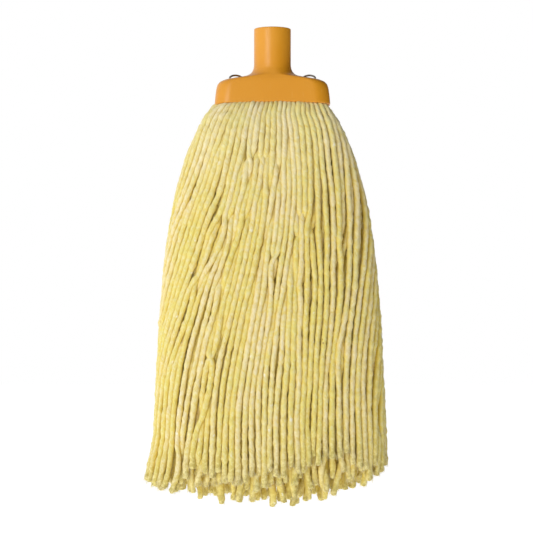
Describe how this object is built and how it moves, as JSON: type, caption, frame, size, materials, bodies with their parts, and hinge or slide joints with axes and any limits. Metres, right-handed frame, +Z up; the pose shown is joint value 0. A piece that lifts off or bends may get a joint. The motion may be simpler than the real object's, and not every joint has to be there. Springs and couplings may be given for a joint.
{
  "type": "string mop head",
  "caption": "String mop head: a moulded plastic handle socket with a boat-shaped skirt, and folded cotton yarn hanging below it in loose locks.",
  "frame": {"origin": "centre of the handle socket's mouth, in the plane of its top rim", "axes": "+Z up along the handle, out of the socket; +X to the right along the skirt's long side; -Y to the front"},
  "size_m": [0.1992, 0.0888, 0.4098],
  "materials": {
    "head_plastic": "satin",
    "steel_wire": "satin",
    "cotton_yarn": "matte"
  },
  "bodies": {
    "head": {"socket_head": "head_plastic", "retaining_rod": "steel_wire", "left_wire_staple": "steel_wire", "right_wire_staple": "steel_wire", "yarn_saddle_1": "cotton_yarn", "yarn_saddle_2": "cotton_yarn", "yarn_saddle_3": "cotton_yarn", "yarn_saddle_4": "cotton_yarn", "yarn_saddle_5": "cotton_yarn", "yarn_saddle_6": "cotton_yarn", "yarn_saddle_7": "cotton_yarn", "yarn_saddle_8": "cotton_yarn"},
    "front_yarn": {"front_outer_lock_1": "cotton_yarn", "front_outer_lock_2": "cotton_yarn", "front_outer_lock_3": "cotton_yarn", "front_outer_lock_4": "cotton_yarn", "front_outer_lock_5": "cotton_yarn", "front_outer_lock_6": "cotton_yarn", "front_inner_lock_1": "cotton_yarn", "front_inner_lock_2": "cotton_yarn", "front_inner_lock_3": "cotton_yarn", "front_inner_lock_4": "cotton_yarn", "front_inner_lock_5": "cotton_yarn", "front_inner_lock_6": "cotton_yarn"},
    "back_yarn": {"back_outer_lock_1": "cotton_yarn", "back_outer_lock_2": "cotton_yarn", "back_outer_lock_3": "cotton_yarn", "back_outer_lock_4": "cotton_yarn", "back_outer_lock_5": "cotton_yarn", "back_outer_lock_6": "cotton_yarn", "back_inner_lock_1": "cotton_yarn", "back_inner_lock_2": "cotton_yarn", "back_inner_lock_3": "cotton_yarn", "back_inner_lock_4": "cotton_yarn", "back_inner_lock_5": "cotton_yarn", "back_inner_lock_6": "cotton_yarn"},
    "left_yarn": {"left_inner_front_lock": "cotton_yarn", "left_inner_back_lock": "cotton_yarn", "left_outer_front_lock": "cotton_yarn", "left_outer_back_lock": "cotton_yarn"},
    "right_yarn": {"right_inner_front_lock": "cotton_yarn", "right_inner_back_lock": "cotton_yarn", "right_outer_front_lock": "cotton_yarn", "right_outer_back_lock": "cotton_yarn"}
  },
  "joints": [
    {"name": "front_yarn_swing", "type": "hinge", "parent": "head", "child": "front_yarn", "pos_m": [0, -0.02, -0.067], "axis": [-1, 0, 0], "range_deg": [0, 80]},
    {"name": "back_yarn_swing", "type": "hinge", "parent": "head", "child": "back_yarn", "pos_m": [0, 0.02, -0.067], "axis": [1, 0, 0], "range_deg": [0, 80]},
    {"name": "left_yarn_swing", "type": "hinge", "parent": "head", "child": "left_yarn", "pos_m": [-0.0495, 0, -0.067], "axis": [0, 1, 0], "range_deg": [0, 80]},
    {"name": "right_yarn_swing", "type": "hinge", "parent": "head", "child": "right_yarn", "pos_m": [0.0495, 0, -0.067], "axis": [0, -1, 0], "range_deg": [0, 80]}
  ]
}
